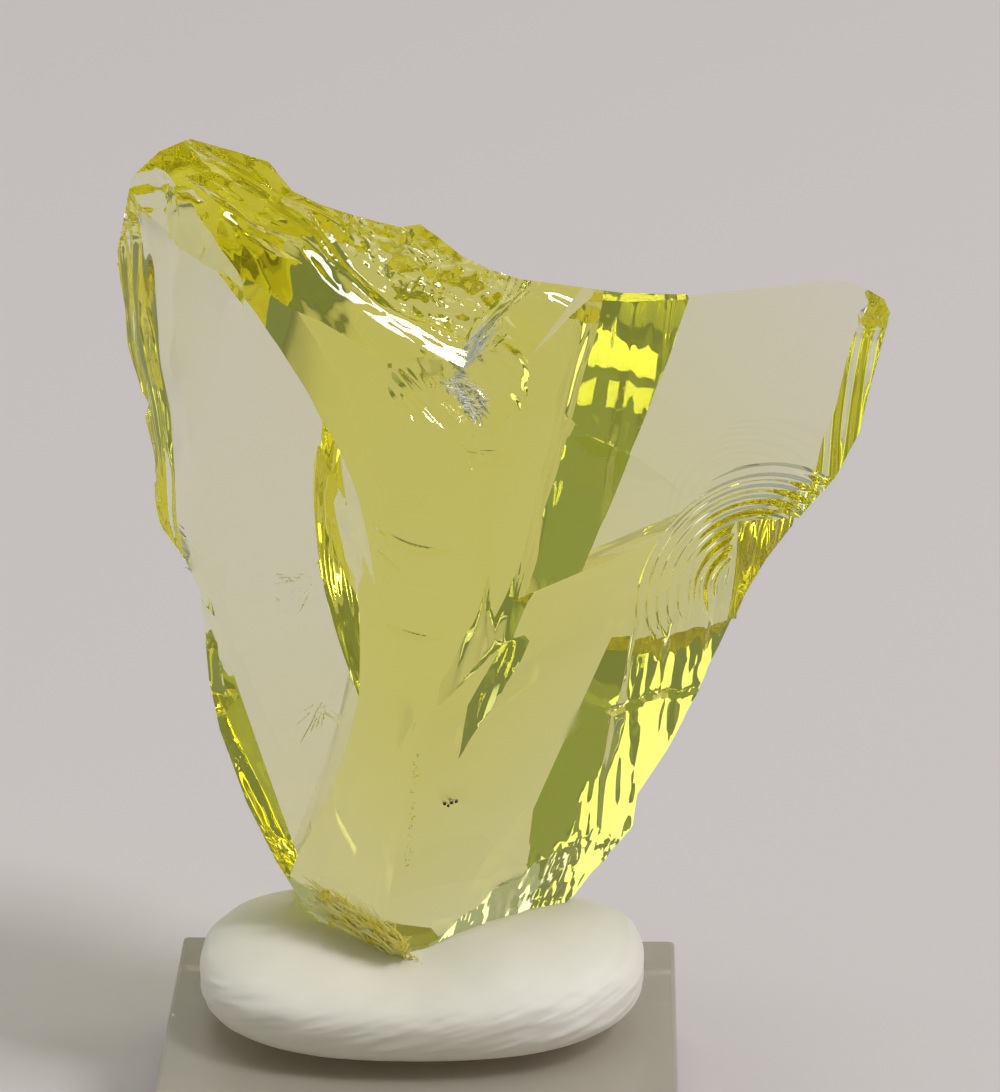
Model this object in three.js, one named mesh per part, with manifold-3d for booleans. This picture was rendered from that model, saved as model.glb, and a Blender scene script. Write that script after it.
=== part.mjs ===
// Raw piece of clear yellow-green andara glass, held upright in a lump of white putty on a square
// clear plate. Millimetres, +Z up, the front faces -Y. The origin is the middle of the plate's underside.

import * as THREE from 'three';
import { mergeVertices } from 'three/addons/utils/BufferGeometryUtils.js';
import Module from 'manifold-3d';

const wasm = await Module();
wasm.setup();

// Driving dimensions
const PLATE_SIDE = 31.75;
const PLATE_THICKNESS = 6.35;
const GAP = 0.3;

const PUTTY_WIDTH = 27.6;
const PUTTY_DEPTH = 20.6;
const PUTTY_HEIGHT = 5.85;
const PUTTY_CENTRE = [0.0, 4.7];
const PUTTY_DIPS = [
  { x: -2.0, y: 1.0, depth: 1.1, halfWidth: 5.5, halfDepth: 4.5 },
  { x: 1.0, y: 13.0, depth: 1.6, halfWidth: 6.5, halfDepth: 4.5 },
];
const PUTTY_ROUNDNESS = { side: 0.62, plan: 0.8, height: 0.72 };

const STONE_FOOT = 9.4;
const STONE_FRONT = -6;
const STONE_BACK = 32;

// The outline is the stone's edge as it is seen from this point, traced on the upright plane
// y = OUTLINE_Y. Its walls run on along the lines of sight until a break cuts them off.
const EYE = new THREE.Vector3(11.235, -283.49, 142.295);
const OUTLINE_Y = 8;
const OUTLINE_MIDDLE = new THREE.Vector2(4, 36);
const OUTLINE_GROWTH = 1.2;
const OUTLINE = [
  [-17.2, 59.4], [-15.5, 61.0], [-13.7, 61.8], [-11.2, 61.1], [-9.0, 60.4], [-7.6, 58.6],
  [-6.0, 57.8], [-3.9, 57.1], [-1.2, 56.4], [0.0, 56.6], [1.2, 55.7], [2.4, 54.7],
  [4.2, 53.8], [6.0, 53.2], [8.4, 52.9], [12.0, 52.4], [16.2, 52.3], [19.1, 52.6],
  [22.1, 53.0], [24.8, 53.3], [26.3, 53.0], [27.8, 52.1], [28.2, 51.2], [27.9, 50.0],
  [27.0, 46.1], [26.5, 43.6], [25.1, 40.7], [23.9, 39.3], [22.4, 37.4], [21.0, 35.4],
  [19.8, 33.2], [19.3, 31.9], [19.2, 30.1], [17.9, 27.2], [15.3, 23.1], [13.3, 19.8],
  [13.0, 17.4], [12.3, 15.0], [10.4, 12.3], [8.2, STONE_FOOT], [-5.0, STONE_FOOT], [-7.4, 11.8],
  [-9.3, 15.2], [-11.0, 19.0], [-12.6, 23.9], [-13.2, 27.2], [-13.6, 33.0], [-14.5, 35.1],
  [-16.0, 37.4], [-16.8, 39.8], [-17.1, 42.8], [-16.5, 45.2], [-17.3, 46.7], [-18.0, 50.0],
  [-18.5, 53.0], [-18.0, 55.6],
];

// Breaks: the way each one faces is given by az, 0 to the front and 90 to the right, and el, up.
// A relief gives the height of the broken surface over its mean plane, at a to the right and b up.
const REACH = 40;
const BIG = 80;
const FACE_LEVEL = 0.01;
const WELD = 1e-4;
const FAN_CENTRE = [-3.9, -0.1];
const FAN_REACH = 6;

function facing(az, el) {
  const azimuth = THREE.MathUtils.degToRad(az);
  const elevation = THREE.MathUtils.degToRad(el);
  return new THREE.Vector3(
    Math.sin(azimuth) * Math.cos(elevation),
    -Math.cos(azimuth) * Math.cos(elevation),
    Math.sin(elevation),
  );
}

function seat(geometry, at, az, el, turn = 0) {
  const out = facing(az, el);
  const right = new THREE.Vector3(0, 0, 1).cross(out).normalize();
  const up = new THREE.Vector3().crossVectors(out, right);
  const frame = new THREE.Matrix4().makeBasis(right, up, out);
  geometry.rotateZ(THREE.MathUtils.degToRad(turn));
  geometry.applyMatrix4(frame);
  geometry.translate(...at);
  return geometry;
}

function solid(geometry) {
  geometry.deleteAttribute('normal');
  geometry.deleteAttribute('uv');
  const merged = mergeVertices(geometry, WELD);
  const corners = merged.index.array;
  const triangles = [];
  for (let i = 0; i < corners.length; i += 3) {
    const [a, b, c] = corners.slice(i, i + 3);
    if (a !== b && b !== c && c !== a) {
      triangles.push(a, b, c);
    }
  }
  return new wasm.Manifold(new wasm.Mesh({
    numProp: 3,
    vertProperties: new Float32Array(merged.attributes.position.array),
    triVerts: new Uint32Array(triangles),
  }));
}

function breakBlock({ at, az, el = 0, turn = 0, size = [BIG, BIG], cells = [1, 1], relief }, grow) {
  const block = new THREE.BoxGeometry(size[0], size[1], REACH, cells[0], cells[1], 1);
  block.translate(0, 0, REACH / 2);
  const points = block.attributes.position;
  for (let i = 0; i < points.count; i += 1) {
    if (points.getZ(i) < FACE_LEVEL) {
      const height = relief ? relief(points.getX(i), points.getY(i)) : 0;
      points.setZ(i, height + grow);
    }
  }
  return solid(seat(block, at, az, el, turn));
}

// A round scar opens like a shallow dish about its own axis, with rings that run round the point struck.
function dishBlock({ at, az, el, radius, depth, rings, waves, sides }, grow) {
  const profile = [];
  for (let i = 0; i <= rings; i += 1) {
    const share = i / rings;
    const ripple = i % 2 === 0 ? waves : -waves;
    const height = depth * (share * share - 1) + (i === 0 ? 0 : ripple);
    profile.push(new THREE.Vector2(radius * share, height + grow));
  }
  profile.push(new THREE.Vector2(radius, REACH), new THREE.Vector2(0, REACH));
  const lathe = new THREE.LatheGeometry(profile, sides);
  lathe.rotateX(Math.PI / 2);
  return solid(seat(lathe, at, az, el));
}

// Reliefs: a dish is hollow in the middle, with its own radius of curve each way.
const dish = (across, along) => (a, b) => (a * a) / (2 * across) + (b * b) / (2 * along);
const BROAD = { cells: [8, 8], relief: dish(260, 320) };

function centreRelief(a, b) {
  const across = a + 0.5 - 0.05 * Math.min(0, b + 3);
  const bend = Math.sign(across) * (0.012 + 0.0015 * Math.max(0, -3 - b));
  return bend * across * across - 0.06 * across + 0.001 * b * b - 0.1;
}

function topLeftRelief(a, b) {
  const spread = b / (1 + 0.035 * (a + 5));
  const lines = 0.14 * Math.sin(2.3 * spread + 0.5 * Math.sin(0.6 * a));
  return lines + 0.16 * Math.sin(0.8 * spread + 0.25 * a);
}

// A smooth strip below a raised crest, and a torn hollow above it.
function topMiddleRelief(a, b) {
  const crest = 2.2 + (a < 0.8 ? 0.045 : 0.02) * (a - 0.8) ** 2;
  const past = b - crest;
  const strip = 0.3 + 0.25 * Math.min(0, past + 0.6);
  const hollow = 0.13 * Math.max(0, past - 1.9) - 0.45 * THREE.MathUtils.clamp(past - 0.6, 0, 1.3);
  const rough = THREE.MathUtils.clamp((past - 0.3) / 0.8, 0, 1);
  return strip + hollow + 0.2 * rough * Math.sin(2.6 * past + 1.2 * Math.sin(0.8 * a));
}

function notchRelief(a, b) {
  const turn = Math.atan2(b - FAN_CENTRE[1], a - FAN_CENTRE[0]);
  const reach = Math.min(Math.hypot(a - FAN_CENTRE[0], b - FAN_CENTRE[1]), FAN_REACH);
  return 0.03 * reach * Math.sin(15 * turn) + 0.12 * Math.sin(1.3 * b + 0.3 * a);
}

function chipRelief(a, b) {
  const bowl = 0.8 * (((a - 0.6) / 4.4) ** 2 + ((b - 0.9) / 2.9) ** 2 - 1);
  return bowl + 0.08 * Math.sin(2.1 * a + 1.3 * b) * Math.sin(1.7 * b);
}

function rightWallRelief(a, b) {
  return 0.1 * Math.sin(4.1 * a + 0.3 * b) + 0.12 * Math.sin(1.7 * a + 0.8 * Math.sin(0.4 * b));
}

function leftWallRelief(a, b) {
  const ridges = 0.08 * Math.sin(2 * a + 0.9 * Math.sin(0.45 * b));
  return ridges + 0.2 * Math.sin(0.5 * b + 0.7) + 0.08 * Math.sin(1.3 * b);
}

const leafRelief = (a, b) => -(b * b) / 74;
const stepRelief = (a, b) => (b * b) / 58;
const nickRelief = (a, b) => 1.6 * Math.abs(a) - 1 + (b / 2.6) ** 2;

// Front breaks
const FRONT_LEFT = { at: [-2.4, 2.6, 36.0], az: -22, ...BROAD };
const FRONT_LOWER = { at: [4.3, 3.4, 19.1], az: 16.5, el: -3.5, ...BROAD };
const FRONT_RIGHT = { at: [12.3, 6.0, 46.5], az: 9.9, el: 6.7, ...BROAD };
const CENTRE_SCAR = {
  at: [1.6, 3.9, 44.0], az: 2, el: 7, size: [24, 46], cells: [20, 30], relief: centreRelief,
};
const TOP_LEFT = {
  at: [-11.6, 6.3, 55.4], az: 17.1, el: 45.9, turn: -48.5,
  size: [36, 26], cells: [30, 44], relief: topLeftRelief,
};
const TOP_MIDDLE = {
  at: [-5.1, 4.8, 51.4], az: 27.8, el: 41.6, turn: -49.1,
  size: [40, 28], cells: [44, 44], relief: topMiddleRelief,
};
const NOTCH = {
  at: [5.3, 5.9, 50.7], az: -62.7, el: 50.6, turn: 71.7,
  size: [40, 28], cells: [50, 34], relief: notchRelief,
};
const CHIP = {
  at: [2.7, 4.5, 46.8], az: 2, el: 9, size: [12, 10], cells: [24, 20], relief: chipRelief,
};
const RIPPLED_SCOOP = {
  at: [20.2, 7.6, 33.4], az: 24, el: -3, radius: 8.6, depth: 1.5, rings: 22, waves: 0.07, sides: 40,
};
const RIGHT_WALL = {
  at: [13.0, 6.5, 24.0], az: 38, el: -10, size: [40, 28], cells: [60, 10], relief: rightWallRelief,
};
const LEFT_WALL = {
  at: [-16.8, 9.35, 46.9], az: -46, el: -3, size: [30, 40], cells: [34, 32], relief: leftWallRelief,
};
const FOOT_LEFT = { at: [-4.35, 2.6, 14.0], az: -35.5, el: -27 };
const FOOT_RIGHT = { at: [6.5, 4.45, 15.6], az: 35, el: -28 };

// Back breaks
const BACK_LEFT = { at: [-10.0, 9.0, 40.0], az: 162, el: 3, ...BROAD };
const BACK_LEFT_BEVEL = {
  at: [-5.8, 7.5, 35.0], az: -124, el: -7.2, size: [30, 40], cells: [1, 16], relief: leafRelief,
};
const BACK_LEFT_STEP = {
  at: [-2.95, 11.7, 34.6], az: -90, el: -6, size: [40, 60], cells: [1, 20], relief: stepRelief,
};
const BACK_LEFT_ROOF = { at: [-6.8, 7.3, 52.0], az: -78, el: -56.5 };
const BACK_LEFT_BROW = { at: [-14.0, 9.62, 52.3], az: 162, el: 14 };
const BACK_LEFT_RIM = { at: [-15.2, 12.4, 53.0], az: 140, el: -4 };
const BACK_LEFT_EDGE = { at: [-18.5, 10.6, 53.0], az: -150, el: -8.5 };
const BACK_LEFT_LOW = { at: [-12.9, 9.6, 29.6], az: -140, el: -12.4 };
const BACK_MIDDLE = { at: [2.0, 23.0, 42.0], az: 182, el: -14, ...BROAD };
const BACK_NICK = {
  at: [-1.95, 23.4, 44.7], az: 182, el: -14, size: [3, 7], cells: [6, 10], relief: nickRelief,
};
const BACK_LOW = { at: [0.1, 17.0, 20.17], az: 169.5, el: -15.5 };
const BACK_LOW_STEP = { at: [1.35, 18.5, 24.1], az: 140, el: -27 };
const BACK_RIGHT = { at: [20.0, 11.2, 46.0], az: 177, el: 3, ...BROAD };
const BACK_RIGHT_BEVEL = { at: [12.9, 11.75, 42.4], az: 136, el: -10.9 };
const BACK_RIGHT_STEP = { at: [8.2, 16.2, 42.0], az: 100, el: -14.5 };
const BACK_RIGHT_SHELF = { at: [17.8, 11.8, 37.4], az: -122, el: 63 };
const BACK_RIGHT_EDGE = { at: [27.6, 8.9, 48.0], az: 132, el: -9 };
const BACK_LOWER = { at: [9.9, 18.3, 29.3], az: 134, el: -24 };
const BACK_LOWER_LEDGE = { at: [14.0, 14.0, 29.8], az: 0, el: -76 };
const BACK_TOP = { at: [-3.0, 12.0, 58.8], az: 170, el: 48, ...BROAD };
const BACK_FOOT = { at: [0.0, 12.0, 12.0], az: 180, el: -30 };

// Each cut takes away what lies outside all of its faces, so that two faces leave a notch.
const CUTS = [
  [FRONT_LEFT], [FRONT_LOWER], [FRONT_RIGHT], [CENTRE_SCAR],
  [TOP_LEFT], [TOP_MIDDLE, NOTCH], [CHIP], [RIGHT_WALL], [LEFT_WALL], [FOOT_LEFT], [FOOT_RIGHT],
  [BACK_LEFT, BACK_LEFT_BEVEL, BACK_LEFT_STEP, BACK_LEFT_ROOF, BACK_LEFT_RIM],
  [BACK_LEFT_BROW, BACK_LEFT_STEP, BACK_LEFT_ROOF, BACK_LEFT_RIM],
  [BACK_LEFT_EDGE, BACK_LEFT_STEP], [BACK_LEFT_LOW, BACK_LEFT_STEP],
  [BACK_MIDDLE], [BACK_LOW, BACK_LOW_STEP], [BACK_NICK],
  [BACK_RIGHT, BACK_RIGHT_BEVEL, BACK_RIGHT_STEP, BACK_RIGHT_SHELF],
  [BACK_RIGHT_EDGE], [BACK_LOWER, BACK_LOWER_LEDGE], [BACK_TOP], [BACK_FOOT],
];

function outlineBlock(grow) {
  const shape = new THREE.Shape(OUTLINE.map(([x, z]) => new THREE.Vector2(x, z)));
  const block = new THREE.ExtrudeGeometry(shape, { depth: 1, steps: 1, bevelEnabled: false });
  const points = block.attributes.position;
  for (let i = 0; i < points.count; i += 1) {
    const flat = new THREE.Vector2(points.getX(i), points.getY(i));
    const push = flat.clone().sub(OUTLINE_MIDDLE).normalize().multiplyScalar(grow * OUTLINE_GROWTH);
    flat.add(push);
    const traced = new THREE.Vector3(flat.x, OUTLINE_Y, flat.y);
    const depth = points.getZ(i) > FACE_LEVEL ? STONE_FRONT : STONE_BACK;
    const share = (depth - EYE.y) / (OUTLINE_Y - EYE.y);
    const place = EYE.clone().lerp(traced, share);
    points.setXYZ(i, place.x, place.y, place.z);
  }
  return solid(block);
}

function stone(grow = 0) {
  let body = outlineBlock(grow);
  for (const faces of CUTS) {
    const blocks = faces.map((face) => breakBlock(face, grow));
    body = body.subtract(blocks.reduce((first, second) => first.intersect(second)));
  }
  return body.subtract(dishBlock(RIPPLED_SCOOP, grow));
}

// The putty is a pressed pillow: rounded in plan, flat under, and lower before and behind the stone.
function puttyLump() {
  const bottom = PLATE_THICKNESS + GAP;
  const lump = new THREE.SphereGeometry(1, 56, 28);
  lump.rotateX(Math.PI / 2);
  const points = lump.attributes.position;
  const squarer = (value, power) => Math.sign(value) * Math.abs(value) ** power;
  for (let i = 0; i < points.count; i += 1) {
    const round = new THREE.Vector3().fromBufferAttribute(points, i);
    const turn = Math.atan2(round.y, round.x);
    const spread = Math.hypot(round.x, round.y) ** PUTTY_ROUNDNESS.side;
    const x = PUTTY_CENTRE[0] + spread * squarer(Math.cos(turn), PUTTY_ROUNDNESS.plan) * PUTTY_WIDTH / 2;
    const y = PUTTY_CENTRE[1] + spread * squarer(Math.sin(turn), PUTTY_ROUNDNESS.plan) * PUTTY_DEPTH / 2;
    const upper = (squarer(round.z, PUTTY_ROUNDNESS.height) + 1) / 2;
    const sway = 0.45 * Math.cos(2 * turn + 0.6) + 0.35 * Math.cos(turn);
    let height = PUTTY_HEIGHT + sway * spread;
    for (const dip of PUTTY_DIPS) {
      const aside = (x - dip.x) / dip.halfWidth;
      const behind = (y - dip.y) / dip.halfDepth;
      height -= dip.depth * Math.exp(-aside * aside - behind * behind);
    }
    points.setXYZ(i, x, y, bottom + upper * height);
  }
  return solid(lump);
}

function meshOf(body, name, material) {
  const { vertProperties, triVerts } = body.getMesh();
  const geometry = new THREE.BufferGeometry();
  geometry.setAttribute('position', new THREE.BufferAttribute(vertProperties, 3));
  geometry.setIndex(new THREE.BufferAttribute(triVerts, 1));
  geometry.computeVertexNormals();
  const mesh = new THREE.Mesh(geometry, material);
  mesh.name = name;
  return mesh;
}

const yellowGlass = new THREE.MeshStandardMaterial({
  color: 0xd9e04a, roughness: 0.03, transparent: true, opacity: 0.6,
});
const whitePutty = new THREE.MeshStandardMaterial({ color: 0xe3dfd6, roughness: 0.8 });
const clearPlastic = new THREE.MeshStandardMaterial({
  color: 0xc9c6b0, roughness: 0.05, transparent: true, opacity: 0.4,
});

const crystal = meshOf(stone(), 'crystal', yellowGlass);
const putty = meshOf(puttyLump().subtract(stone(GAP)), 'putty_mount', whitePutty);

const plate = new THREE.Mesh(new THREE.BoxGeometry(PLATE_SIDE, PLATE_SIDE, PLATE_THICKNESS), clearPlastic);
plate.name = 'acrylic_base';
plate.position.z = PLATE_THICKNESS / 2;

const group = new THREE.Group();
group.add(crystal, putty, plate);

export default group;
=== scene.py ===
"""A raw chunk of clear yellow-green andara glass in a lump of white putty on a clear acrylic plate.

Lengths here are in millimetres, as in the part's source, whose places the pieces repeat. They
become metres in mesh_object() and metres(). The front faces -Y.
"""
import math

import bmesh
import bpy
import numpy as np
from mathutils import Matrix, Vector


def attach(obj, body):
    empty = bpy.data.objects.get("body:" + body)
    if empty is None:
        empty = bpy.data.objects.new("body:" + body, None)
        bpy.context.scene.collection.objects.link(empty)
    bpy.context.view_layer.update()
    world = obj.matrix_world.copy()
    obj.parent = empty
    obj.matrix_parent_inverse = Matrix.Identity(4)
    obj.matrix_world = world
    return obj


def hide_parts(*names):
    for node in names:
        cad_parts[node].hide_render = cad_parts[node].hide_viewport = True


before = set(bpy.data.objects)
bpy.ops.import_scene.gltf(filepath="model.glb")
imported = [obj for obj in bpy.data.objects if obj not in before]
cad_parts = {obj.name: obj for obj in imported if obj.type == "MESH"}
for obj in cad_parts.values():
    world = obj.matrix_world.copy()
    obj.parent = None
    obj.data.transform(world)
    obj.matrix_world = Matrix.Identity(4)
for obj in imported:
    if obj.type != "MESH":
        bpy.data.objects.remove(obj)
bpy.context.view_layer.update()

MM = 0.001
BODY = "root"

# Camera: the photograph's, 1000 x 1092 pixels
EYE = (11.235, -283.49, 142.295)
VIEW_YAW = -1.27
VIEW_PITCH = -20.0
FOCAL_PIXELS = 5078.3
LONG_SIDE = 1092
SENSOR = 36.0

# Stone: the outline is its edge as seen from the eye, on the upright plane y = OUTLINE_Y
OUTLINE_Y = 8.0
STONE_FRONT = -6.0
STONE_BACK = 32.0
STONE_FOOT = 9.4
OUTLINE = [
    (-17.2, 59.4), (-15.5, 61.0), (-13.7, 61.8), (-11.2, 61.1), (-9.0, 60.4), (-7.6, 58.6),
    (-6.0, 57.8), (-3.9, 57.1), (-1.2, 56.4), (0.0, 56.6), (1.2, 55.7), (2.4, 54.7),
    (4.2, 53.8), (6.0, 53.2), (8.4, 52.9), (12.0, 52.4), (16.2, 52.3), (19.1, 52.6),
    (22.1, 53.0), (24.8, 53.3), (26.3, 53.0), (27.8, 52.1), (28.2, 51.2), (27.9, 50.0),
    (27.0, 46.1), (26.5, 43.6), (25.1, 40.7), (23.9, 39.3), (22.4, 37.4), (21.0, 35.4),
    (19.8, 33.2), (19.3, 31.9), (19.2, 30.1), (17.9, 27.2), (15.3, 23.1), (13.3, 19.8),
    (13.0, 17.4), (12.3, 15.0), (10.4, 12.3), (8.2, STONE_FOOT), (-5.0, STONE_FOOT), (-7.4, 11.8),
    (-9.3, 15.2), (-11.0, 19.0), (-12.6, 23.9), (-13.2, 27.2), (-13.6, 33.0), (-14.5, 35.1),
    (-16.0, 37.4), (-16.8, 39.8), (-17.1, 42.8), (-16.5, 45.2), (-17.3, 46.7), (-18.0, 50.0),
    (-18.5, 53.0), (-18.0, 55.6),
]
SHARP_ANGLE = math.radians(28)
SOFT_ANGLE = math.radians(60)
MERGE_DISTANCE = 0.004
SLIVER_LENGTH = 0.003

# Putty
PUTTY_WIDTH = 27.6
PUTTY_DEPTH = 20.6
PUTTY_HEIGHT = 6.1
PUTTY_CENTRE = (0.0, 4.7)
PUTTY_FOOT = 6.4
PUTTY_DIPS = [
    {"x": -2.0, "y": 1.0, "depth": 1.1, "half_width": 5.5, "half_depth": 4.5},
    {"x": 1.0, "y": 13.0, "depth": 1.6, "half_width": 6.5, "half_depth": 4.5},
]
PUTTY_ROUNDNESS = {"side": 0.62, "plan": 0.8, "height": 0.72}
PUTTY_ROWS = 150
PUTTY_SIDES = 420
FOOT_MIDDLE = (1.5, 9.0, 10.0)
FOOT_REACH = 6
POCKET_GAP = 0.04

# Plate
PLATE_SIDE = 31.75
PLATE_THICKNESS = 6.35
PLATE_BEVEL = 0.3


def metres(point):
    return Vector([value * MM for value in point])


def mesh_object(name, verts, faces):
    """A new object from points in millimetres"""
    mesh = bpy.data.meshes.new(name)
    mesh.from_pydata((np.asarray(verts) * MM).tolist(), [], faces)
    mesh.validate()
    obj = bpy.data.objects.new(name, mesh)
    bpy.context.scene.collection.objects.link(obj)
    return obj


# Smooth seeded noise on a plane, used for every broken surface
def lattice(seed, i, j):
    value = np.sin(i * 127.1 + j * 311.7 + seed * 74.7) * 43758.5453
    return value - np.floor(value)


def noise(seed, x, y):
    """From -1 to 1, smooth between chance values on a unit grid"""
    i = np.floor(x)
    j = np.floor(y)
    u = x - i
    v = y - j
    u = u * u * (3 - 2 * u)
    v = v * v * (3 - 2 * v)
    low = lattice(seed, i, j) * (1 - u) + lattice(seed, i + 1, j) * u
    high = lattice(seed, i, j + 1) * (1 - u) + lattice(seed, i + 1, j + 1) * u
    return 2 * (low * (1 - v) + high * v) - 1


def layered(seed, x, y, octaves=3):
    total = 0
    for k in range(octaves):
        total = total + noise(seed + k, x * 2 ** k, y * 2 ** k) / 2 ** k
    return total


def streaks(seed, a, b, length, width, height):
    """Fine torn lines that run along a"""
    coarse = noise(seed, a / length, b / width)
    fine = noise(seed + 1, a / length, 2.1 * b / width)
    return height * (coarse + 0.5 * fine)


# Reliefs: the height of a broken surface over its mean plane, at a to the right and b up
DISH_RADIUS_ACROSS = 260
DISH_RADIUS_ALONG = 320
FAN_CENTRE = (-3.9, -0.1)
FAN_REACH = 6


def shallow_dish(a, b):
    return a * a / (2 * DISH_RADIUS_ACROSS) + b * b / (2 * DISH_RADIUS_ALONG)


def front_relief(seed, length, width):
    """A shallow dish with a faint swell"""
    return lambda a, b: shallow_dish(a, b) + 0.02 * noise(seed, a / width, b / length)


def centre_relief(a, b):
    """Two slopes that meet along a crease, which leans to one side below b = -3"""
    across = a + 0.5 - 0.05 * np.minimum(0, b + 3)
    bend = np.where(across < 0, -1, 1) * (0.012 + 0.0015 * np.maximum(0, -3 - b))
    return bend * across ** 2 - 0.06 * across + 0.001 * b * b - 0.1 + 0.03 * noise(7, a / 1.1, b / 9)


def top_left_relief(a, b):
    """Torn lines that fan out from the tip"""
    spread = b / (1 + 0.035 * (a + 5))
    lines = 0.2 * noise(11, a / 4, spread / 0.5) + 0.08 * noise(12, a / 2.5, spread / 0.24)
    swell = 0.14 * np.sin(2.3 * spread + 0.5 * np.sin(0.6 * a)) + 0.16 * np.sin(0.8 * spread + 0.25 * a)
    return lines + swell + 0.08 * noise(13, a / 1.8, spread / 0.9)


def top_middle_relief(a, b):
    """A bright chipped strip under a curved crest, then a hollow, then rough knobs"""
    crest = 2.2 + np.where(a < 0.8, 0.045, 0.02) * (a - 0.8) ** 2
    past = b - crest
    strip = 0.3 + 0.25 * np.minimum(0, past + 0.6)
    chipped = 0.08 * noise(21, a / 2.4, past / 0.9) + 0.02 * noise(22, a / 0.9, past / 0.35)
    hollow = -0.45 * np.clip(past - 0.6, 0, 1.3) + 0.13 * np.maximum(0, past - 1.9)
    rough = np.clip((past - 0.3) / 0.8, 0, 1)
    waves = 0.12 * np.sin(2.6 * past + 1.2 * np.sin(0.8 * a)) + streaks(17, a, past, 1.6, 0.4, 0.1)
    knobs = 0.3 * np.clip((past - 1.5) / 2, 0, 1) * layered(18, a / 1.3, past / 0.9)
    return strip + hollow + rough * waves + knobs + (1 - rough) * chipped


def notch_relief(a, b):
    """Lines that fan out from the tip of the top band"""
    da = a - FAN_CENTRE[0]
    db = b - FAN_CENTRE[1]
    turn = np.arctan2(db, da)
    reach = np.minimum(np.hypot(da, db), FAN_REACH)
    fan = reach * (0.06 * noise(23, 9 * turn, reach / 3) + 0.03 * noise(24, 23 * turn, reach / 2))
    return fan + 0.12 * np.sin(1.3 * b + 0.3 * a) + 0.03 * layered(25, a, b)


def chip_relief(a, b):
    """A bowl with a torn patch that slants through its middle"""
    bowl = 0.8 * (((a - 0.6) / 4.4) ** 2 + ((b - 0.9) / 2.9) ** 2 - 1)
    along = 0.65 * (a + 0.3) - 0.76 * (b + 0.7)
    across = 0.76 * (a + 0.3) + 0.65 * (b + 0.7)
    torn = np.exp(-(along / 2.2) ** 2 - (across / 1.1) ** 2)
    uneven = 0.12 * noise(28, a / 1.6, b / 1.6) + 0.15 * noise(29, across / 0.45, along / 1.8)
    return bowl + uneven + 0.2 * torn * layered(27, across / 0.3, along / 0.6)


def right_wall_relief(a, b):
    """Upright ripples with a level crack across them"""
    base = 0.05 * np.sin(4.1 * a + 0.3 * b) + 0.09 * np.sin(1.7 * a + 0.8 * np.sin(0.4 * b))
    torn = 0.11 * layered(31, a / 1.1, b / 5)
    crack = np.exp(-((b - 2.7 - 0.25 * np.sin(1.3 * a)) / 0.2) ** 2 - (a / 4.5) ** 4)
    return base + torn - 0.35 * crack


def left_wall_relief(a, b):
    ridges = 0.08 * np.sin(2.0 * a + 0.9 * np.sin(0.45 * b)) + 0.02 * np.sin(5.1 * a + 0.5 * b)
    swell = 0.2 * np.sin(0.5 * b + 0.7) + 0.08 * np.sin(1.3 * b)
    return ridges + swell + streaks(37, b, a, 3.5, 0.9, 0.03)


def edge_relief(a, b):
    """Ridges that run along the edge, crossed by others near its top"""
    along = 0.05 * np.sin(4.4 * a + 0.7 * np.sin(0.5 * b)) + streaks(47, b, a, 4.0, 0.5, 0.04)
    return along + 0.14 * np.clip((b - 1) / 2, 0, 1) * np.sin(4.2 * b + 0.8 * np.sin(0.9 * a))


def foot_relief(a, b):
    """Spikes that point down into the putty"""
    coarse = 0.22 * np.abs(noise(61, a / 0.8 + 0.25 * b, b / 3))
    fine = 0.08 * np.abs(noise(62, a / 0.3, b / 1.2))
    return -(coarse + fine) + 0.12 * noise(63, a / 1.8, b / 1.8)


def nick_relief(a, b):
    """A short wedge"""
    return 1.6 * np.abs(a) - 1.0 + (b / 2.6) ** 2


def leaf_relief(a, b):
    return -b * b / 74 + streaks(41, b, a, 4.0, 0.5, 0.05)


def step_relief(a, b):
    return b * b / 58


def back_streak_relief(a, b):
    return streaks(43, b, a, 6.0, 0.8, 0.04)


def uneven_step_relief(a, b):
    return 0.16 * noise(44, a / 3.5, b / 3.0) + 0.05 * noise(45, a / 1.0, b / 2.2) + back_streak_relief(a, b)


# Marks: thin grooves and pits, with the same a and b as the face that they are on
MARK_CLEARANCE = 0.012
FINE_SCRATCH_DEPTH = 0.06
FINE_SCRATCH_WIDTH = 0.05
LEFT_SCRATCHES = [
    ((-9.4, -5.1), (-4.7, -0.6), 0.04, 0.05), ((-6.3, -1.5), (-5.4, 0.6), 0.05, 0.06),
    ((-7.2, -3.4), (-3.9, -1.8), 0.05, 0.05), ((-5.8, -1.1), (-4.0, 0.5), 0.05, 0.06),
]
RIGHT_SCRATCHES = [((-2.3, -2.3), (0.9, -3.9), 0.05, 0.08), ((0.9, -3.9), (3.3, -5.9), 0.03, 0.08)]
SPECKS = [(-2.95, 2.34), (-2.72, 2.18), (-2.5, 2.36), (-2.24, 2.42)]


def groove(a, b, centre, radius, depth, width, turn_from, turn_to):
    """A curved groove round centre, deepest in the middle of its length"""
    da = a - centre[0]
    db = b - centre[1]
    turn = np.degrees(np.arctan2(db, da))
    along = np.clip((turn - turn_from) / (turn_to - turn_from), 0, 1)
    ends = np.sin(np.pi * along)
    across = (np.hypot(da, db) - radius) / width
    return -depth * ends * np.exp(-across * across)


def scratch(a, b, start, end, depth, width):
    """A thin straight groove from start to end"""
    run = (end[0] - start[0], end[1] - start[1])
    share = ((a - start[0]) * run[0] + (b - start[1]) * run[1]) / (run[0] ** 2 + run[1] ** 2)
    share = np.clip(share, 0, 1)
    away = np.hypot(a - start[0] - share * run[0], b - start[1] - share * run[1])
    return -depth * np.exp(-(away / width) ** 2)


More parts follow.
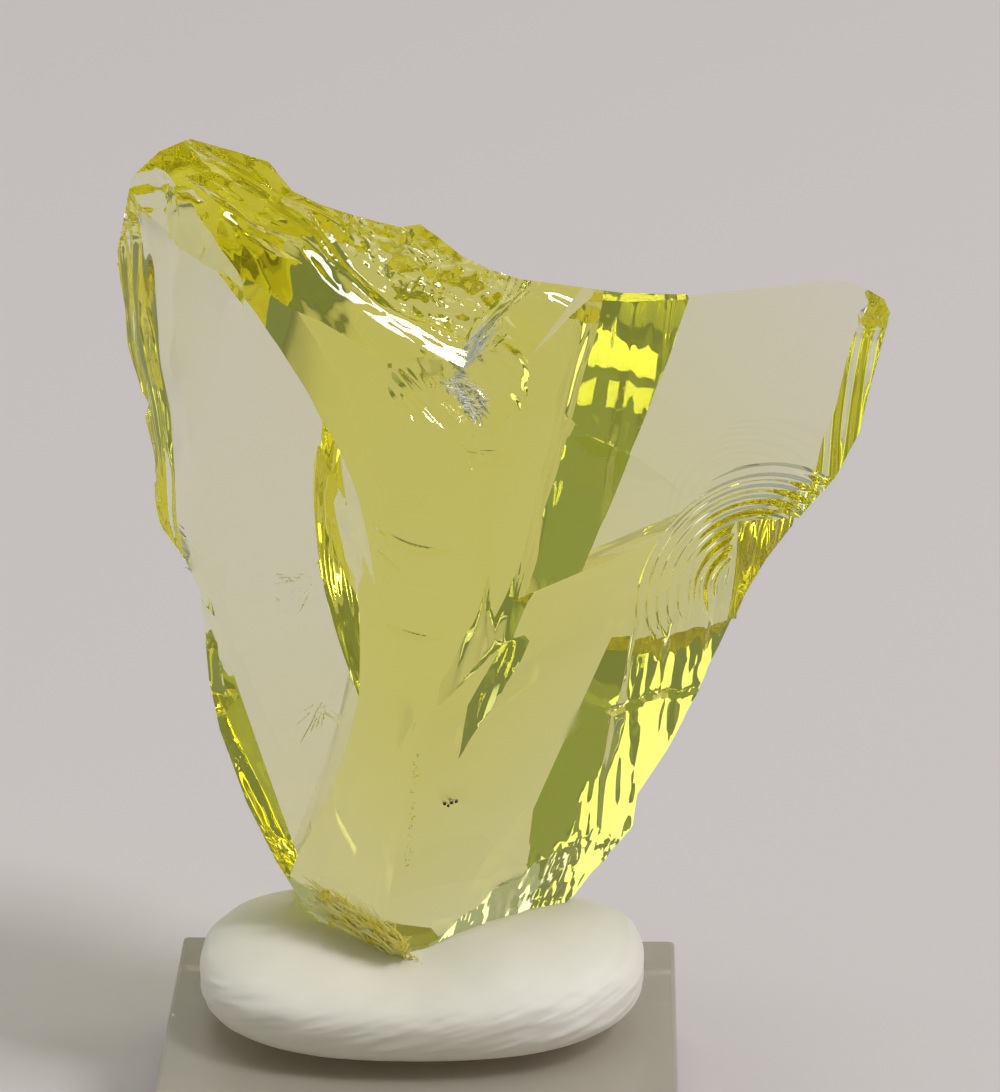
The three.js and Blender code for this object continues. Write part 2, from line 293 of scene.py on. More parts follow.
def pit(a, b, centre, depth, width):
    return -depth * np.exp(-((a - centre[0]) ** 2 + (b - centre[1]) ** 2) / width ** 2)


def fan_of_scratches(a, b, seed, centre, reach, turn_from, turn_to, count):
    """Short torn lines that fan out round centre"""
    total = 0
    for k in range(count):
        turn = math.radians(turn_from + (turn_to - turn_from) * lattice(seed, k, 1))
        near = reach * (0.1 + 0.4 * lattice(seed, k, 2))
        far = near + reach * (0.2 + 0.4 * lattice(seed, k, 3))
        start = (centre[0] + near * math.cos(turn), centre[1] + near * math.sin(turn))
        end = (centre[0] + far * math.cos(turn), centre[1] + far * math.sin(turn))
        total = total + scratch(a, b, start, end, FINE_SCRATCH_DEPTH, FINE_SCRATCH_WIDTH)
    return total


def left_marks(a, b):
    total = sum(scratch(a, b, *line) for line in LEFT_SCRATCHES)
    total = total + fan_of_scratches(a, b, 65, (-4.2, -0.6), 3.2, 170, 250, 12)
    return total + pit(a, b, (-6.8, -2.4), 0.2, 0.12)


def lower_left_marks(a, b):
    return fan_of_scratches(a, b, 71, (-3.6, -8.2), 3.4, 205, 265, 12)


def upper_arc_marks(a, b):
    total = groove(a, b, (-0.4, -1.0), 5.4, 0.16, 0.15, -140, -80)
    return total + scratch(a, b, (-4.0, -6.4), (-2.8, -7.6), 0.06, 0.06)


def lower_arc_marks(a, b):
    return groove(a, b, (-0.6, -6.6), 5.2, 0.13, 0.12, -128, -84)


def flake_marks(a, b):
    total = groove(a, b, (2.6, 2.6), 3.0, 0.09, 0.08, -120, -30)
    total = total + groove(a, b, (2.6, 2.6), 3.7, 0.1, 0.09, -105, -25)
    total = total + groove(a, b, (2.4, 2.4), 4.6, 0.1, 0.08, -85, -30)
    return total + fan_of_scratches(a, b, 73, (1.2, -0.4), 1.6, 0, 360, 9)


def right_marks(a, b):
    return sum(scratch(a, b, *line) for line in RIGHT_SCRATCHES)


def speck_marks(a, b):
    return sum(pit(a, b, centre, 0.2, 0.1) for centre in SPECKS)


# Faces: az is 0 to the front and 90 to the right, and el is up; turn is about the face's own axis
def face(at, az, el=0.0, turn=0.0, size=(64, 80), step=1.5, relief=None):
    seat = {"at": at, "az": az, "el": el, "turn": turn, "centre": (0, 0)}
    return dict(seat, size=size, step=step, relief=relief)


def marks_on(base, centre, size, marks, step=0.07):
    """A small block that reaches into a face only where it is marked"""
    def relief(a, b):
        return base["relief"](a, b) + MARK_CLEARANCE + marks(a, b)
    return dict(base, centre=centre, size=size, step=step, relief=relief)


FRONT_LEFT = face((-2.4, 2.6, 36.0), -22, relief=front_relief(3, 9, 6))
FRONT_LOWER = face((4.3, 3.4, 19.1), 16.5, -3.5, relief=shallow_dish)
FRONT_RIGHT = face((12.3, 6.0, 46.5), 9.9, 6.7, relief=front_relief(5, 6, 5))
CENTRE_SCAR = face((1.6, 3.9, 44.0), 2, 7, 0, (24, 46), 0.2, centre_relief)
TOP_LEFT = face((-11.6, 6.3, 55.4), 17.1, 45.9, -48.5, (36, 26), 0.12, top_left_relief)
TOP_MIDDLE = face((-5.1, 4.8, 51.4), 27.8, 41.6, -49.1, (40, 28), 0.15, top_middle_relief)
NOTCH = face((5.3, 5.9, 50.7), -62.7, 50.6, 71.7, (40, 28), 0.15, notch_relief)
CHIP = face((2.7, 4.5, 46.8), 2, 9, 0, (12, 10), 0.1, chip_relief)
RIGHT_WALL = face((13.0, 6.5, 24.0), 38, -10, 0, (40, 28), 0.2, right_wall_relief)
LEFT_WALL = face((-16.8, 9.35, 46.9), -46, -3, 0, (30, 40), 0.2, left_wall_relief)
LEFT_HACKLES = face((-14.4, 7.65, 35.8), -35)
FOOT_LEFT = face((-4.35, 2.6, 14.0), -35.5, -27, 0, (30, 24), 0.15, foot_relief)
FOOT_RIGHT = face((6.5, 4.45, 15.6), 35, -28, 0, (30, 24), 0.15, foot_relief)

BACK_LEFT = face((-10.0, 9.0, 40.0), 162, 3, relief=shallow_dish)
BACK_LEFT_BEVEL = face((-5.8, 7.5, 35.0), -124, -7.2, 0, (30, 40), 0.3, leaf_relief)
BACK_LEFT_STEP = face((-2.95, 11.7, 34.6), -90, -6, 0, (40, 60), 1.0, step_relief)
BACK_LEFT_ROOF = face((-6.8, 7.3, 52.0), -78, -56.5)
BACK_LEFT_BROW = face((-14.0, 9.62, 52.3), 162, 14)
BACK_LEFT_RIM = face((-15.2, 12.4, 53.0), 140, -4)
BACK_LEFT_EDGE = face((-18.5, 10.6, 53.0), -150, -8.5, 0, (30, 60), 0.25, edge_relief)
BACK_LEFT_LOW = face((-12.9, 9.6, 29.6), -140, -12.4)
BACK_MIDDLE = face((2.0, 23.0, 42.0), 182, -14, relief=shallow_dish)
BACK_NICK = face((-1.95, 23.4, 44.7), 182, -14, 0, (3, 7), 0.15, nick_relief)
BACK_LOW = face((0.1, 17.0, 20.17), 169.5, -15.5)
BACK_LOW_STEP = face((1.35, 18.5, 24.1), 140, -27, 0, (50, 50), 0.4, uneven_step_relief)
BACK_RIGHT = face((20.0, 11.2, 46.0), 177, 3, relief=shallow_dish)
BACK_RIGHT_BEVEL = face((12.9, 11.75, 42.4), 136, -10.9, 0, (40, 60), 0.4, back_streak_relief)
BACK_RIGHT_STEP = face((8.2, 16.2, 42.0), 100, -14.5, 0, (60, 60), 0.4, uneven_step_relief)
BACK_RIGHT_SHELF = face((17.8, 11.8, 37.4), -122, 63)
BACK_RIGHT_EDGE = face((27.6, 8.9, 48.0), 132, -9, 0, (30, 60), 0.3, edge_relief)
BACK_LOWER = face((9.9, 18.3, 29.3), 134, -24)
BACK_LOWER_LEDGE = face((14.0, 14.0, 29.8), 0, -76)
BACK_TOP = face((-3.0, 12.0, 58.8), 170, 48, relief=shallow_dish)
BACK_FOOT = face((0.0, 12.0, 12.0), 180, -30)

# Each cut takes away what lies outside all of its faces at once
CUTS = [
    [FRONT_LEFT], [FRONT_LOWER], [FRONT_RIGHT], [CENTRE_SCAR],
    [TOP_LEFT], [TOP_MIDDLE, NOTCH], [CHIP], [RIGHT_WALL], [LEFT_WALL], [FOOT_LEFT], [FOOT_RIGHT],
    [BACK_LEFT, BACK_LEFT_BEVEL, BACK_LEFT_STEP, BACK_LEFT_ROOF, BACK_LEFT_RIM],
    [BACK_LEFT_BROW, BACK_LEFT_STEP, BACK_LEFT_ROOF, BACK_LEFT_RIM],
    [BACK_LEFT_EDGE, BACK_LEFT_STEP], [BACK_LEFT_LOW, BACK_LEFT_STEP], [BACK_MIDDLE],
    [BACK_LOW, BACK_LOW_STEP],
    [BACK_RIGHT, BACK_RIGHT_BEVEL, BACK_RIGHT_STEP, BACK_RIGHT_SHELF],
    [BACK_RIGHT_EDGE], [BACK_LOWER, BACK_LOWER_LEDGE], [BACK_TOP], [BACK_FOOT], [BACK_NICK],
]

SCOOP = {
    "at": (20.2, 7.6, 33.4), "az": 24, "el": -3,
    "radius": 8.6, "depth": 1.5, "rings": 22, "waves": 0.085,
}

MARKS = [
    marks_on(FRONT_LEFT, (-6.4, -2.3), (7, 6.4), left_marks),
    marks_on(FRONT_LEFT, (-4.6, -10.0), (3.6, 4.4), lower_left_marks),
    marks_on(CENTRE_SCAR, (-2.2, -5.8), (5.6, 4.4), upper_arc_marks),
    marks_on(CENTRE_SCAR, (-2.0, -11.2), (4.4, 3.4), lower_arc_marks),
    marks_on(CENTRE_SCAR, (3.4, -0.8), (5.4, 4.4), flake_marks),
    marks_on(FRONT_RIGHT, (0.5, -4.1), (6.6, 5.0), right_marks),
    marks_on(FRONT_LOWER, (-2.6, 2.2), (2.0, 1.8), speck_marks, 0.04),
]

# Middle and radius of the torn places that look frosty
FROSTY_PLACES = [
    ((-6.0, 3.2, 13.8), 2.8), ((-3.0, 2.2, 12.8), 2.4), ((6.2, 4.2, 13.9), 2.6), ((8.6, 5.2, 13.9), 1.8),
    ((1.2, 4.4, 48.6), 1.4), ((2.4, 4.2, 46.2), 1.1), ((-14.0, 8.0, 35.6), 1.8), ((9.0, 5.2, 26.6), 1.5),
]


def facing(az, el):
    az, el = math.radians(az), math.radians(el)
    return Vector((math.sin(az) * math.cos(el), -math.cos(az) * math.cos(el), math.sin(el)))


def axes_of(az, el, turn=0.0):
    """Columns: right, up and out of the face"""
    out = facing(az, el)
    right = Vector((0, 0, 1)).cross(out).normalized()
    up = out.cross(right)
    basis = Matrix((right, up, out)).transposed() @ Matrix.Rotation(math.radians(turn), 3, "Z")
    return np.array(basis)


def placed(local, item):
    """Points on a face, given as a, b and height, in the part's own axes"""
    return np.array(local) @ axes_of(item["az"], item["el"], item.get("turn", 0.0)).T + np.array(item["at"])


# Stone
REACH = 40.0
SCOOP_SIDES = 160
STEPS_PER_RING = 6


def grid_block(item):
    """A closed block whose inner side is the broken face"""
    width, height = item["size"]
    if item["relief"] is None:
        across, along = 1, 1
    else:
        across = max(1, round(width / item["step"]))
        along = max(1, round(height / item["step"]))
    columns = item["centre"][0] + np.linspace(-width / 2, width / 2, across + 1)
    rows = item["centre"][1] + np.linspace(-height / 2, height / 2, along + 1)
    a, b = np.meshgrid(columns, rows)
    c = item["relief"](a, b) if item["relief"] else np.zeros_like(a)
    near = np.stack([a.ravel(), b.ravel(), c.ravel()], 1)
    row = across + 1
    faces = []
    for j in range(along):
        for i in range(across):
            k = j * row + i
            faces.append((k, k + row, k + row + 1, k + 1))
    rim = [i for i in range(row)]
    rim += [j * row + across for j in range(1, along + 1)]
    rim += [along * row + i for i in range(across - 1, -1, -1)]
    rim += [j * row for j in range(along - 1, 0, -1)]
    far = near[rim].copy()
    far[:, 2] = REACH
    count = len(near)
    total = len(rim)
    for k in range(total):
        following = (k + 1) % total
        faces.append((rim[k], rim[following], count + following, count + k))
    faces.append(tuple(count + k for k in range(total)))
    return mesh_object("block", placed(np.vstack([near, far]), item), faces)


def circle(radius, height, sides):
    turns = [2 * math.pi * k / sides for k in range(sides)]
    return [(radius * math.cos(turn), radius * math.sin(turn), height) for turn in turns]


def scoop_block(item):
    """A closed block for the rippled scoop, turned about its own axis"""
    count = item["rings"] * STEPS_PER_RING
    share = np.linspace(0, 1, count + 1)
    radii = item["radius"] * share
    ripple = item["waves"] * np.cos(np.pi * item["rings"] * share)
    heights = item["depth"] * (share ** 2 - 1) + ripple
    verts = [(0, 0, heights[0])]
    for radius, height in zip(radii[1:], heights[1:]):
        verts.extend(circle(radius, height, SCOOP_SIDES))
    verts.extend(circle(item["radius"], REACH, SCOOP_SIDES))
    faces = [(0, 1 + (k + 1) % SCOOP_SIDES, 1 + k) for k in range(SCOOP_SIDES)]
    for ring in range(count):
        inner = 1 + ring * SCOOP_SIDES
        outer = inner + SCOOP_SIDES
        for k in range(SCOOP_SIDES):
            following = (k + 1) % SCOOP_SIDES
            faces.append((inner + k, inner + following, outer + following, outer + k))
    lid = 1 + count * SCOOP_SIDES
    faces.append(tuple(lid + k for k in range(SCOOP_SIDES)))
    return mesh_object("scoop", placed(verts, item), faces)


def outline_block():
    """The outline swept along the lines of sight from the eye"""
    eye = np.array(EYE)
    verts = []
    for depth in (STONE_FRONT, STONE_BACK):
        share = (depth - eye[1]) / (OUTLINE_Y - eye[1])
        for x, z in OUTLINE:
            verts.append(eye + (np.array([x, OUTLINE_Y, z]) - eye) * share)
    count = len(OUTLINE)
    faces = [tuple(range(count - 1, -1, -1)), tuple(range(count, 2 * count))]
    for k in range(count):
        following = (k + 1) % count
        faces.append((k, following, count + following, count + k))
    return mesh_object("crystal_glass", verts, faces)


def combine(target, tool, operation):
    """Joins or cuts target with tool, and drops the tool"""
    modifier = target.modifiers.new("boolean", "BOOLEAN")
    modifier.operation = operation
    modifier.solver = "MANIFOLD"
    modifier.object = tool
    graph = bpy.context.evaluated_depsgraph_get()
    result = bpy.data.meshes.new_from_object(target.evaluated_get(graph))
    target.modifiers.clear()
    old = target.data
    target.data = result
    bpy.data.meshes.remove(old)
    bpy.data.objects.remove(tool)


def fix_facing(obj):
    mesh = bmesh.new()
    mesh.from_mesh(obj.data)
    bmesh.ops.recalc_face_normals(mesh, faces=mesh.faces)
    mesh.to_mesh(obj.data)
    mesh.free()


def smooth_but_for_edges(obj, angle):
    """Drops slivers, closes what that opens, and shades smoothly up to angle"""
    mesh = bmesh.new()
    mesh.from_mesh(obj.data)
    bmesh.ops.remove_doubles(mesh, verts=mesh.verts, dist=MERGE_DISTANCE * MM)
    bmesh.ops.dissolve_degenerate(mesh, edges=mesh.edges, dist=SLIVER_LENGTH * MM)
    loose = [edge for edge in mesh.edges if not edge.link_faces]
    bmesh.ops.delete(mesh, geom=loose, context="EDGES")
    opened = [edge for edge in mesh.edges if len(edge.link_faces) == 1]
    bmesh.ops.holes_fill(mesh, edges=opened)
    for item in mesh.faces:
        item.smooth = True
    for edge in mesh.edges:
        edge.smooth = len(edge.link_faces) == 2 and edge.calc_face_angle(0.0) < angle
    mesh.to_mesh(obj.data)
    mesh.free()


def crystal_shape():
    """The stone as the cuts leave it"""
    stone = outline_block()
    fix_facing(stone)
    for faces in CUTS:
        tool = grid_block(faces[0])
        fix_facing(tool)
        for other in faces[1:]:
            second = grid_block(other)
            fix_facing(second)
            combine(tool, second, "INTERSECT")
        combine(stone, tool, "DIFFERENCE")
    for tool in [scoop_block(SCOOP)] + [grid_block(mark) for mark in MARKS]:
        fix_facing(tool)
        combine(stone, tool, "DIFFERENCE")
    return stone


def add_frost(stone):
    """How frosty each point of the surface is, for the material"""
    mesh = stone.data
    points = np.empty(3 * len(mesh.vertices))
    mesh.vertices.foreach_get("co", points)
    points = points.reshape(-1, 3) / MM
    patchy = 0.5 + 0.7 * noise(81, points[:, 0] / 0.5, points[:, 2] / 0.9)
    frost = np.zeros(len(points))
    for middle, radius in FROSTY_PLACES:
        away = np.linalg.norm(points - np.array(middle), axis=1) / radius
        frost = np.maximum(frost, np.clip(3 * (1 - away), 0, 1) * np.clip(patchy, 0, 1))
    layer = mesh.attributes.new("frost", "FLOAT", "POINT")
    layer.data.foreach_set("value", frost)


def dress_crystal(stone, glass):
    smooth_but_for_edges(stone, SHARP_ANGLE)
    add_frost(stone)
    stone.data.materials.clear()
    stone.data.materials.append(glass)
    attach(stone, BODY)
    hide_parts("crystal")


# Splinters: thin spikes that stand along the line from start to end on a face and lean towards turn
ROOT_DEPTH = 0.03


def cluster(base, start, end, spread, turn, fan, lengths, width, count):
    line = {"face": base, "start": start, "end": end, "spread": spread, "turn": turn, "fan": fan}
    return dict(line, lengths=lengths, width=width, count=count)


YELLOW_SPLINTERS = [
    cluster(FOOT_LEFT, (-2.4, 0.2), (3.4, -2.6), 1.5, 95, 55, (0.6, 2.3), 0.3, 420),
    cluster(FOOT_LEFT, (2.0, -2.3), (4.6, -3.5), 0.3, 80, 60, (0.3, 0.8), 0.16, 60),
    cluster(FRONT_LOWER, (-4.8, 6.0), (-5.3, -1.8), 0.15, 60, 60, (0.15, 0.45), 0.07, 45),
]
WHITE_SPLINTERS = [
    cluster(CHIP, (-0.9, 1.2), (0.9, -1.0), 0.6, -25, 55, (0.4, 1.3), 0.13, 110),
    cluster(NOTCH, (-4.0, 0.0), (-1.6, 1.0), 0.7, 8, 30, (0.7, 3.0), 0.1, 90),
    cluster(LEFT_HACKLES, (-0.2, 1.5), (0.5, -1.3), 0.2, 165, 30, (0.4, 0.9), 0.1, 26),
]


def splinter(item, k, seed):
    """One spike: a root triangle sunk into its face, and a tip"""
    chance = [lattice(seed, k, i) for i in range(6)]
    start, end = np.array(item["start"]), np.array(item["end"])
    run = end - start
    side = np.array((-run[1], run[0])) / np.linalg.norm(run)
    flat = start + run * chance[0] + side * item["spread"] * (2 * chance[1] - 1)
    ground = item["face"]["relief"](*flat) if item["face"]["relief"] else 0
    root = np.array((flat[0], flat[1], ground - ROOT_DEPTH))
    turn = math.radians(item["turn"] + item["fan"] * (2 * chance[2] - 1))
    short, long = item["lengths"]
    length = short + (long - short) * chance[3] ** 2
    ahead = np.array((math.cos(turn), math.sin(turn), 0.05 + 0.3 * chance[4]))
    across = np.array((-math.sin(turn), math.cos(turn), 0))
    half = item["width"] * (0.5 + chance[5]) / 2
    local = [root - across * half, root + across * half, root + (0, 0, half), root + ahead * length]
    return placed(local, item["face"])


def splinter_piece(name, clusters, finish):
    sides = ((0, 1, 2), (0, 3, 1), (1, 3, 2), (2, 3, 0))
    verts, faces = [], []
    for seed, item in enumerate(clusters):
        for k in range(item["count"]):
            first = len(verts)
            verts.extend(splinter(item, k, 90 + seed))
            faces += [tuple(first + corner for corner in side) for side in sides]
    piece = mesh_object(name, verts, faces)
    fix_facing(piece)
    piece.data.materials.append(finish)
    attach(piece, BODY)


# Specks: height and radius of each ring of points, as shares of the grain's size
SPECK_SIZE = 0.12
SPECK_RINGS = [(-1, 0.0), (-0.5, 0.85), (0.5, 0.85), (1, 0.0)]
SPECK_SIDES = 6


def speck_piece(finish):
    """Dark mineral grains in the pits of the lower front face"""
    verts, faces = [], []
    for k, (a, b) in enumerate(SPECKS):
        middle = placed((a, b, FRONT_LOWER["relief"](a, b)), FRONT_LOWER)
        first = len(verts)
        for level, ring in SPECK_RINGS:
            for i, point in enumerate(circle(ring, level, SPECK_SIDES)):
                size = SPECK_SIZE * (0.7 + 0.6 * lattice(99, k, i)) if ring else SPECK_SIZE
                verts.append(middle + size * np.array(point))
        for row in range(len(SPECK_RINGS) - 1):
            low = first + SPECK_SIDES * row
            high = low + SPECK_SIDES
            for i in range(SPECK_SIDES):
                j = (i + 1) % SPECK_SIDES
                faces.append((low + i, low + j, high + j, high + i))
    piece = mesh_object("specks", verts, faces)
    smooth_but_for_edges(piece, SOFT_ANGLE)
    fix_facing(piece)
    piece.data.materials.append(finish)
    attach(piece, BODY)


def signed_power(value, exponent):
    return np.sign(value) * np.abs(value) ** exponent


def putty_shape():
    """A squashed ball with two dips, finger presses and fine wrinkles"""
    down = np.pi * np.arange(PUTTY_ROWS + 1) / PUTTY_ROWS
    flat = np.sin(down)[:, None]
    high = np.cos(down)[:, None]
    turn = (2 * np.pi * np.arange(PUTTY_SIDES) / PUTTY_SIDES)[None, :]
    spread = signed_power(flat, PUTTY_ROUNDNESS["side"])
    x = spread * signed_power(np.cos(turn), PUTTY_ROUNDNESS["plan"]) * PUTTY_WIDTH / 2
    y = spread * signed_power(np.sin(turn), PUTTY_ROUNDNESS["plan"]) * PUTTY_DEPTH / 2
    z = (signed_power(high, PUTTY_ROUNDNESS["height"]) + 1) * PUTTY_HEIGHT / 2 + 0 * x
    upper = z / PUTTY_HEIGHT
    rise = (0.45 * np.cos(2 * turn + 0.6) + 0.35 * np.cos(turn)) * spread
    for dip in PUTTY_DIPS:
        aside = (x + PUTTY_CENTRE[0] - dip["x"]) / dip["half_width"]
        behind = (y + PUTTY_CENTRE[1] - dip["y"]) / dip["half_depth"]
        rise = rise - dip["depth"] * np.exp(-aside ** 2 - behind ** 2)
    z = z + upper * rise
    slant = x + 0.55 * z
    level = z - 0.3 * x
    press = 0.13 * layered(51, x / 5, (y + 3 * z) / 6) * upper
    wrinkles = 0.05 * noise(55, slant / 3.5, level / 0.45) + 0.03 * noise(56, slant / 2, level / 0.2)
    push = (press + wrinkles * np.clip(2 * spread - 1, 0, 1)) * np.clip(4 * upper * (1.2 - upper), 0, 1)
    x = x * (1 + push / 12)
    y = y * (1 + push / 9)
    z = z + 0.5 * push * upper
    points = np.stack([x + PUTTY_CENTRE[0], y + PUTTY_CENTRE[1], z + PUTTY_FOOT], 2).reshape(-1, 3)
    faces = []
    for j in range(PUTTY_ROWS):
        this, below = j * PUTTY_SIDES, (j + 1) * PUTTY_SIDES
        for k in range(PUTTY_SIDES):
            following = (k + 1) % PUTTY_SIDES
            faces.append((this + k, below + k, below + following, this + following))
    lump = mesh_object("putty", points, faces)
    smooth_but_for_edges(lump, SOFT_ANGLE)
    fix_facing(lump)
    return lump


def putty_piece(finish, stone):
    """The lump with a pocket that fits the stone's foot"""
    lump = putty_shape()
    pocket = bpy.data.objects.new("pocket", stone.data.copy())
    bpy.context.scene.collection.objects.link(pocket)
    middle = metres(FOOT_MIDDLE)
    growth = 1 + POCKET_GAP / FOOT_REACH
    grow = Matrix.Diagonal((growth, growth, growth, 1))
    pocket.data.transform(Matrix.Translation(middle) @ grow @ Matrix.Translation(-middle))
    combine(lump, pocket, "DIFFERENCE")
    smooth_but_for_edges(lump, SOFT_ANGLE)
    lump.data.materials.clear()
    lump.data.materials.append(finish)
    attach(lump, BODY)
    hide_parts("putty_mount")


def plate_piece(finish):
    """The square plate with its polished, slightly bevelled edges"""
    mesh = bmesh.new()
    bmesh.ops.create_cube(mesh, size=1.0)
    size = Matrix.Diagonal((PLATE_SIDE * MM, PLATE_SIDE * MM, PLATE_THICKNESS * MM, 1))
    lift = Matrix.Translation((0, 0, PLATE_THICKNESS / 2 * MM))
    bmesh.ops.transform(mesh, matrix=lift @ size, verts=mesh.verts)
    edges = mesh.edges[:]
    bmesh.ops.bevel(mesh, geom=edges, offset=PLATE_BEVEL * MM, segments=2, affect="EDGES", profile=0.5)
    data = bpy.data.meshes.new("plate")
    mesh.to_mesh(data)
    mesh.free()
    plate = bpy.data.objects.new("plate", data)
    bpy.context.scene.collection.objects.link(plate)
    plate.data.materials.append(finish)
    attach(plate, BODY)
    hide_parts("acrylic_base")


# Materials
GLASS_IOR = 1.5
GLASS_DENSITY = 85.0
FROST_ROUGHNESS = 0.75
ACRYLIC_IOR = 1.49
ACRYLIC_DENSITY = 9.0


class Finish:
    """A material that is built round one Principled shader"""

    def __init__(self, name):
        self.material = bpy.data.materials.new(name)
        self.material.use_nodes = True
        self.nodes = self.material.node_tree.nodes
        self.links = self.material.node_tree.links
        self.nodes.clear()
        self.output = self.nodes.new("ShaderNodeOutputMaterial")
        self.shader = self.nodes.new("ShaderNodeBsdfPrincipled")
        self.links.new(self.shader.outputs["BSDF"], self.output.inputs["Surface"])

    def even(self, **values):
        """Sockets that are the same all over, such as base_color for Base Color"""
        sockets = {name.lower().replace(" ", "_"): name for name in self.shader.inputs.keys()}
        for name, value in values.items():
            self.shader.inputs[sockets[name]].default_value = value

    def absorb(self, colour, density):
        volume = self.nodes.new("ShaderNodeVolumeAbsorption")
        volume.inputs["Color"].default_value = (*colour, 1)
        volume.inputs["Density"].default_value = density
        self.links.new(volume.outputs["Volume"], self.output.inputs["Volume"])

    def noise(self, scale, detail=2.0):
        place = self.nodes.new("ShaderNodeTexCoord")
        texture = self.nodes.new("ShaderNodeTexNoise")
        texture.inputs["Scale"].default_value = scale
        texture.inputs["Detail"].default_value = detail
        self.links.new(place.outputs["Object"], texture.inputs["Vector"])
        return texture.outputs["Fac"]

    def colours(self, value, low, high, low_at=0.0, high_at=1.0):
        """The base colour runs from low to high as value does"""
        ramp = self.nodes.new("ShaderNodeValToRGB")
        first, last = ramp.color_ramp.elements
        first.position, last.position = low_at, high_at
        first.color, last.color = (*low, 1), (*high, 1)
        self.links.new(value, ramp.inputs["Fac"])
        self.links.new(ramp.outputs["Color"], self.shader.inputs["Base Color"])

    def roughness(self, value, low, high, low_at=0.0, high_at=1.0):
        span = self.nodes.new("ShaderNodeMapRange")
        span.inputs["From Min"].default_value = low_at
        span.inputs["From Max"].default_value = high_at
        span.inputs["To Min"].default_value = low
        span.inputs["To Max"].default_value = high
        self.links.new(value, span.inputs["Value"])
        self.links.new(span.outputs["Result"], self.shader.inputs["Roughness"])

    def bump(self, height, strength, distance):
        bump = self.nodes.new("ShaderNodeBump")
        bump.inputs["Strength"].default_value = strength
        bump.inputs["Distance"].default_value = distance * MM
        self.links.new(height, bump.inputs["Height"])
        self.links.new(bump.outputs["Normal"], self.shader.inputs["Normal"])


def andara_glass():
    """Clear glass that is rough where the stone has frost"""
    finish = Finish("andara_glass")
    finish.even(base_color=(1, 1, 1, 1), ior=GLASS_IOR, transmission_weight=1.0)
    finish.absorb((0.958, 0.942, 0.02), GLASS_DENSITY)
    frost = finish.nodes.new("ShaderNodeAttribute")
    frost.attribute_name = "frost"
    finish.roughness(frost.outputs["Fac"], 0.0, FROST_ROUGHNESS)
    return finish.material


def torn_glass(name, tint, painted_glint):
    """Broken flakes that scatter light and look frosty: nearly opaque, their bright colour partly the
    glass's own tint and partly painted light standing in for light that shines through the stone, mottled
    with patches of a paler painted glint
    """
    finish = Finish(name)
    finish.even(ior=GLASS_IOR, transmission_weight=0.1)
    painted_glint_patches = finish.noise(700.0)
    # noise patches blend the flakes' tint into a paler painted glint colour
    finish.colours(painted_glint_patches, tint, painted_glint, 0.35, 0.65)
    finish.roughness(painted_glint_patches, 0.1, 0.5)
    return finish.material


def dark_mineral():
    finish = Finish("dark_mineral")
    finish.even(roughness=0.5)
    finish.colours(finish.noise(4000.0), (0.01, 0.01, 0.008), (0.06, 0.055, 0.03))
    return finish.material


def clear_acrylic():
    """Warm clear plastic with faint scuffs"""
    finish = Finish("clear_acrylic")
    finish.even(base_color=(0.88, 0.81, 0.72, 1), ior=ACRYLIC_IOR, transmission_weight=0.65)
    finish.absorb((0.82, 0.74, 0.5), ACRYLIC_DENSITY)
    finish.roughness(finish.noise(300.0, 6.0), 0.02, 0.16, 0.5, 0.8)
    return finish.material


def mineral_putty():
    """Matt off-white putty with smudges and fine grain"""
    finish = Finish("mineral_putty")
    smudges = finish.noise(90.0, 5.0)
    finish.colours(smudges, (0.85, 0.79, 0.73), (0.92, 0.86, 0.82), 0.3, 0.6)
    finish.roughness(smudges, 0.5, 0.75)
    finish.bump(finish.noise(2600.0, 3.0), strength=0.12, distance=0.06)
    return finish.material


def floor_finish():
    finish = Finish("floor")
    finish.even(base_color=(0.665, 0.6, 0.635, 1), roughness=0.9)
    return finish.material


# Stage, in metres but for LIGHT_AIM
FLOOR_RADIUS = 3.0
FLOOR_DROP = 0.0002
LIGHT_AIM = (0, 0, 35)


def camera():
    data = bpy.data.cameras.new("camera")
    data.sensor_width = SENSOR
    data.lens = FOCAL_PIXELS / LONG_SIDE * SENSOR
    data.clip_start = 0.01
    obj = bpy.data.objects.new("camera", data)
    yaw, pitch = math.radians(VIEW_YAW), math.radians(VIEW_PITCH)
    forward = Vector((math.sin(yaw) * math.cos(pitch), math.cos(yaw) * math.cos(pitch), math.sin(pitch)))
    right = Vector((math.cos(yaw), -math.sin(yaw), 0))
    up = right.cross(forward)
    turn = Matrix((right, up, -forward)).transposed()
    obj.matrix_world = Matrix.Translation(metres(EYE)) @ turn.to_4x4()
    bpy.context.scene.collection.objects.link(obj)
    bpy.context.scene.camera = obj


def floor(finish):
    bpy.ops.mesh.primitive_circle_add(
        vertices=96, radius=FLOOR_RADIUS, fill_type="NGON", location=(0, 0, -FLOOR_DROP))
    obj = bpy.context.object
    obj.name = "floor"
    obj.data.materials.append(finish)


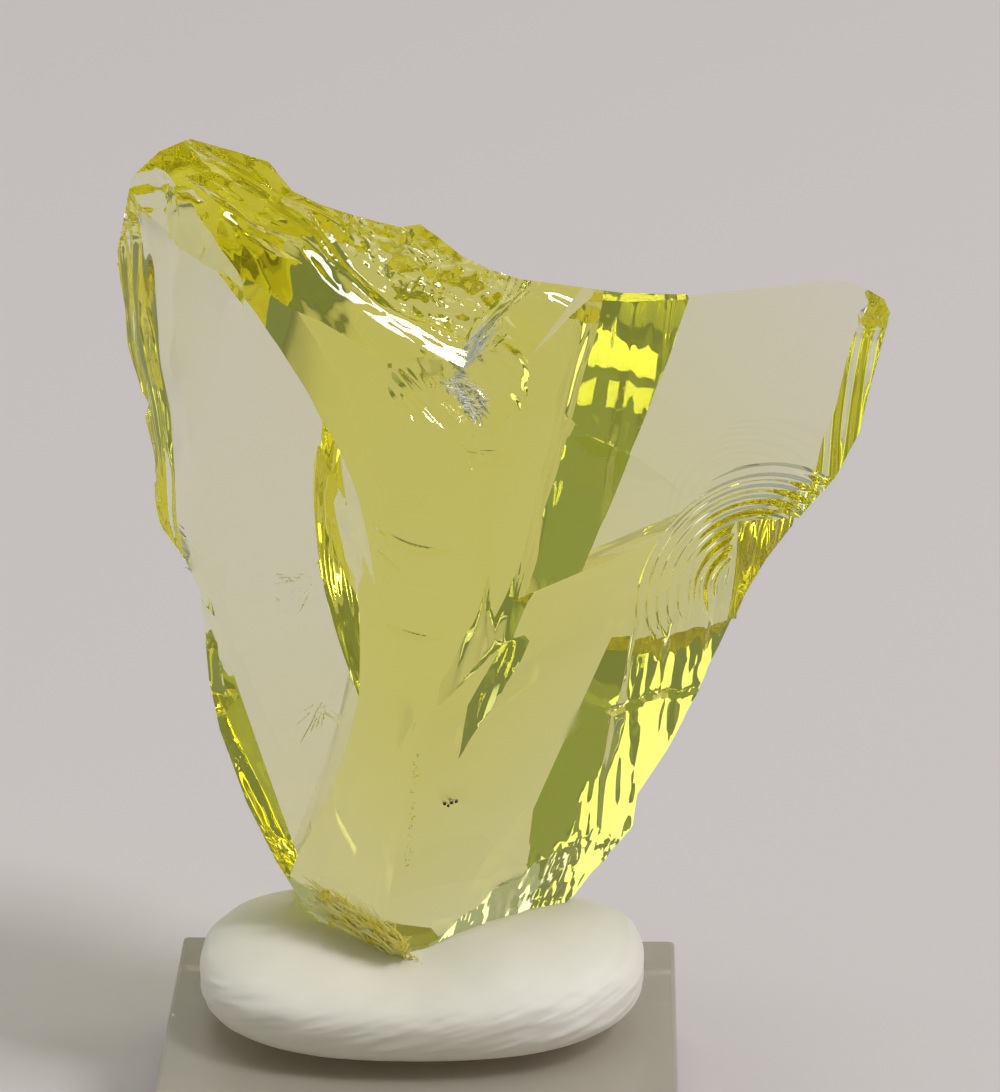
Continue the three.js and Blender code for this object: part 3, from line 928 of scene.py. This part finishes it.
def soft_light(name, az, el, away, size, strength, tint=(1, 1, 1)):
    """A rectangular lamp seen from the stone at az and el; strength is watts over pi times its area"""
    data = bpy.data.lights.new(name, "AREA")
    data.color = tint
    data.shape = "RECTANGLE"
    data.size, data.size_y = size
    data.energy = strength * math.pi * size[0] * size[1]
    obj = bpy.data.objects.new(name, data)
    aim = metres(LIGHT_AIM)
    obj.location = aim + facing(az, el) * away
    obj.rotation_euler = (aim - obj.location).to_track_quat("-Z", "Y").to_euler()
    bpy.context.scene.collection.objects.link(obj)


def studio():
    soft_light("key", 72, 52, 1.6, (0.4, 0.4), 22.0)
    soft_light("left", -130, 12.5, 1.35, (0.95, 0.58), 1.1)
    soft_light("right", 96, 24, 1.5, (0.6, 0.5), 2.0)
    soft_light("above", 180, 84, 2.0, (1.5, 1.5), 1.85)
    soft_light("wall", -94, 10, 1.4, (0.7, 0.75), 0.11, (0.62, 0.74, 0.1))
    soft_light("back", 180, 17, 1.6, (2.2, 0.8), 0.17)
    world = bpy.data.worlds.new("studio")
    bpy.context.scene.world = world
    world.use_nodes = True
    background = world.node_tree.nodes["Background"]
    background.inputs["Color"].default_value = (0.45, 0.52, 0.38, 1)
    background.inputs["Strength"].default_value = 0.42


def render_quality():
    """Enough bounces for light to cross the stone's many faces"""
    scene = bpy.context.scene
    scene.view_settings.view_transform = "Standard"
    scene.cycles.use_denoising = True
    scene.cycles.max_bounces = 32
    scene.cycles.transmission_bounces = 32
    scene.cycles.glossy_bounces = 16


camera()
floor(floor_finish())
studio()
render_quality()
stone = crystal_shape()
putty_piece(mineral_putty(), stone)
dress_crystal(stone, andara_glass())
plate_piece(clear_acrylic())
# the second colour of each torn glass is a painted glint; the first is the flakes' own tint, kept bright as
# painted light for light shining through the stone
yellow_torn = torn_glass("yellow_torn_glass", (1.0, 0.88, 0.1), (1.0, 0.96, 0.45))
white_torn = torn_glass("white_torn_glass", (0.95, 0.95, 0.8), (1.0, 1.0, 0.97))
splinter_piece("yellow_splinters", YELLOW_SPLINTERS, yellow_torn)
splinter_piece("white_splinters", WHITE_SPLINTERS, white_torn)
speck_piece(dark_mineral())
